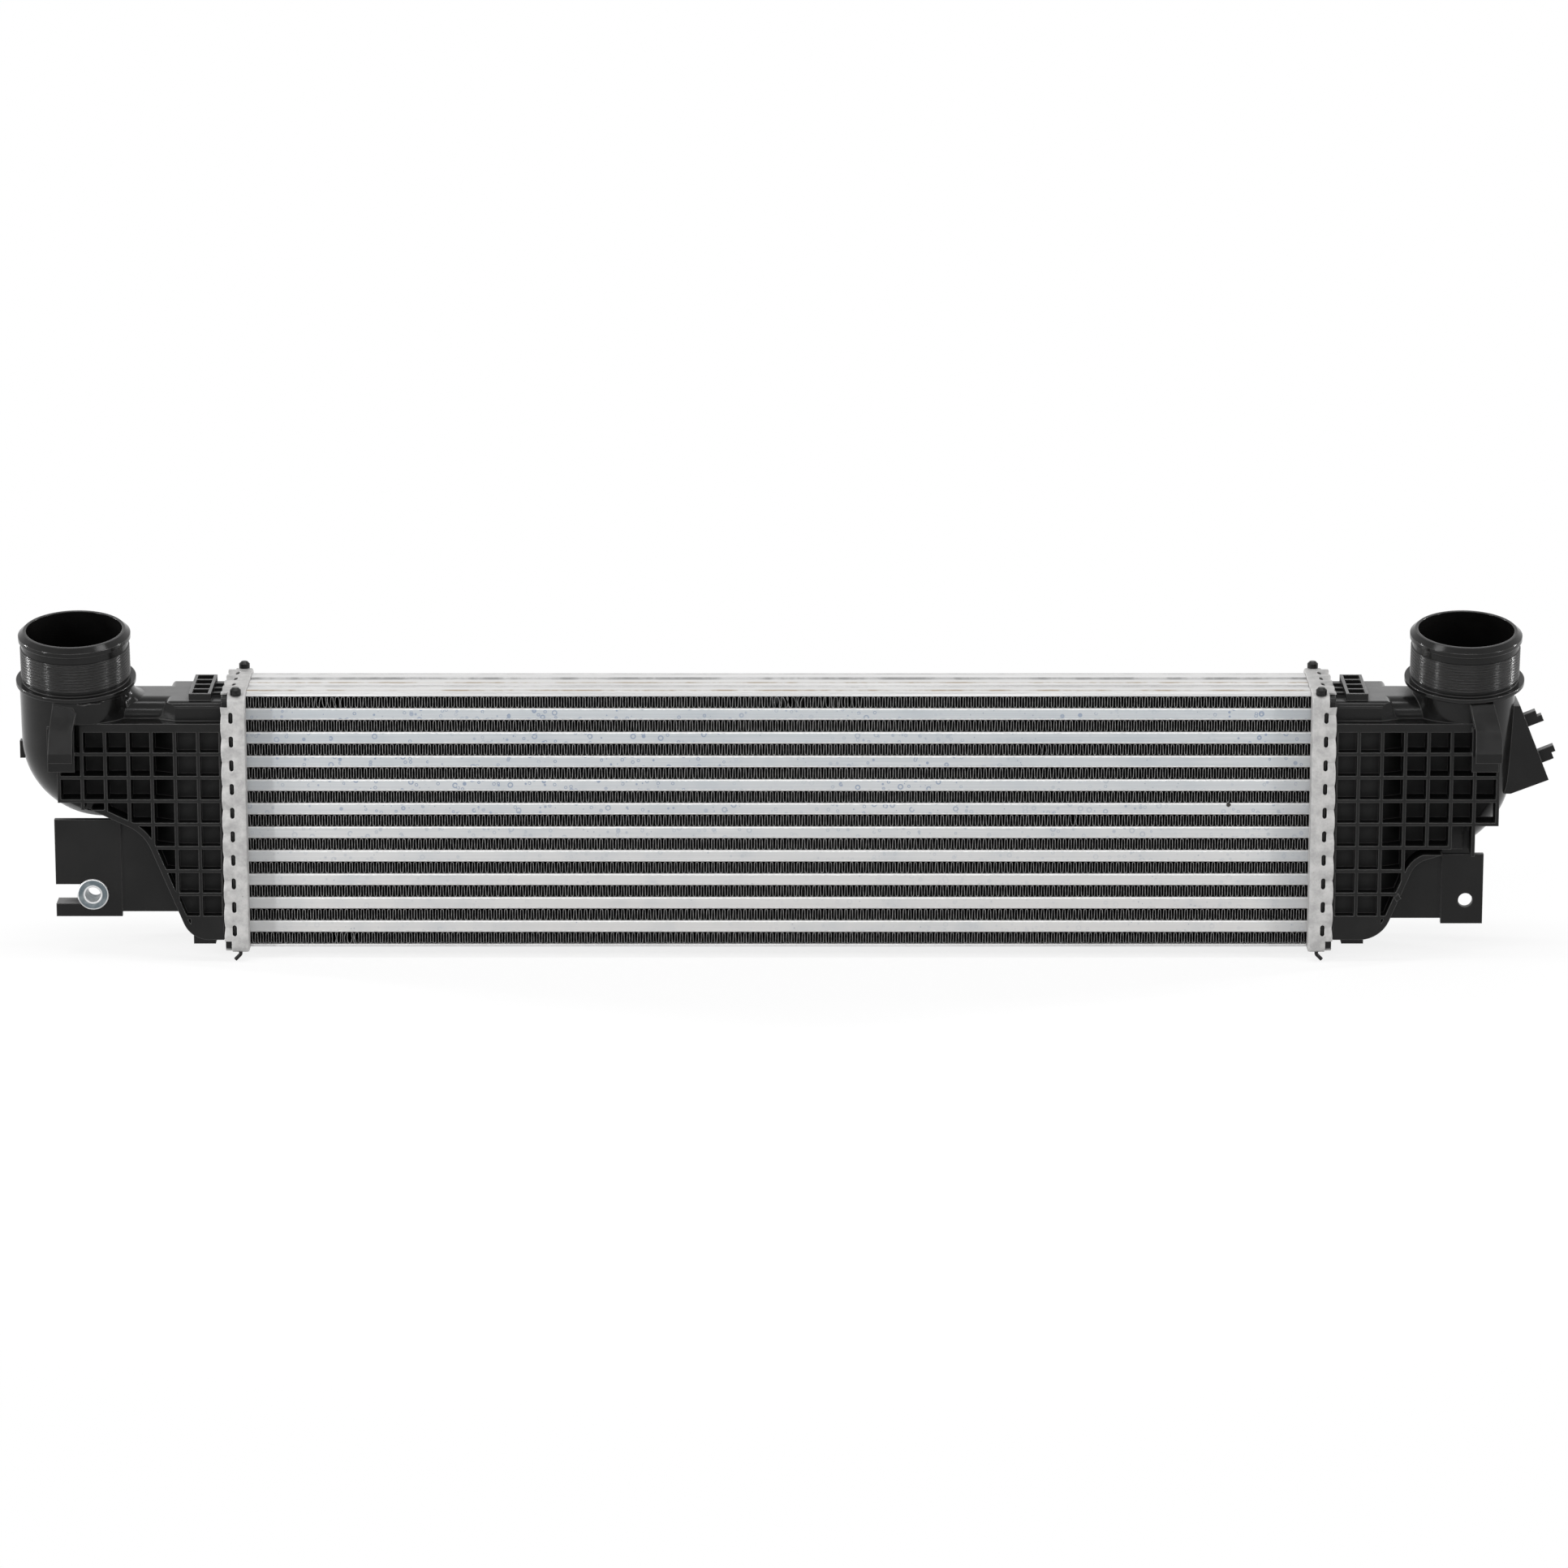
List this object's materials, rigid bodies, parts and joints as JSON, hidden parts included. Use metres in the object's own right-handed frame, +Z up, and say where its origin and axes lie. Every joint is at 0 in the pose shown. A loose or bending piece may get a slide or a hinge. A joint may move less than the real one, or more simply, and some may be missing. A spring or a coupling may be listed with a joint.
{
  "type": "intercooler",
  "caption": "Air-to-air intercooler: wide tube and fin core between crimped headers, with black ribbed end tanks, upright hose necks and mounting brackets.",
  "frame": {"origin": "centre of the bounding box in plan, at its lowest point", "axes": "+X along the core to the tank with the sensor seat, +Y to the back, +Z up through the hose necks"},
  "size_m": [0.9104, 0.087, 0.2015],
  "materials": {
    "tank_plastic": "moulded glass-filled nylon, satin",
    "header_aluminium": "brazed, dull and slightly mottled",
    "tube_aluminium": "brazed, with flux and water marks",
    "fin_aluminium": "thin folded sheet, brazed",
    "side_plate_aluminium": "brazed, with pale flux",
    "gasket_rubber": "matt",
    "rod_steel": "black coated",
    "sleeve_steel": "zinc plated, pale blue"
  },
  "bodies": {
    "root": {"bottom_side_plate": "side_plate_aluminium", "bracket_sleeve": "sleeve_steel", "fin_row_01": "fin_aluminium", "fin_row_02": "fin_aluminium", "fin_row_03": "fin_aluminium", "fin_row_04": "fin_aluminium", "fin_row_05": "fin_aluminium", "fin_row_06": "fin_aluminium", "fin_row_07": "fin_aluminium", "fin_row_08": "fin_aluminium", "fin_row_09": "fin_aluminium", "fin_row_10": "fin_aluminium", "fin_row_11": "fin_aluminium", "left_back_rod": "rod_steel", "left_front_rod": "rod_steel", "left_gasket": "gasket_rubber", "left_header": "header_aluminium", "left_tank": "tank_plastic", "right_back_rod": "rod_steel", "right_front_rod": "rod_steel", "right_gasket": "gasket_rubber", "right_header": "header_aluminium", "right_tank": "tank_plastic", "top_side_plate": "side_plate_aluminium", "tube_01": "tube_aluminium", "tube_02": "tube_aluminium", "tube_03": "tube_aluminium", "tube_04": "tube_aluminium", "tube_05": "tube_aluminium", "tube_06": "tube_aluminium", "tube_07": "tube_aluminium", "tube_08": "tube_aluminium", "tube_09": "tube_aluminium", "tube_10": "tube_aluminium", "turbulator_01": "tube_aluminium", "turbulator_02": "tube_aluminium", "turbulator_03": "tube_aluminium", "turbulator_04": "tube_aluminium", "turbulator_05": "tube_aluminium", "turbulator_06": "tube_aluminium", "turbulator_07": "tube_aluminium", "turbulator_08": "tube_aluminium", "turbulator_09": "tube_aluminium", "turbulator_10": "tube_aluminium"}
  },
  "joints": []
}
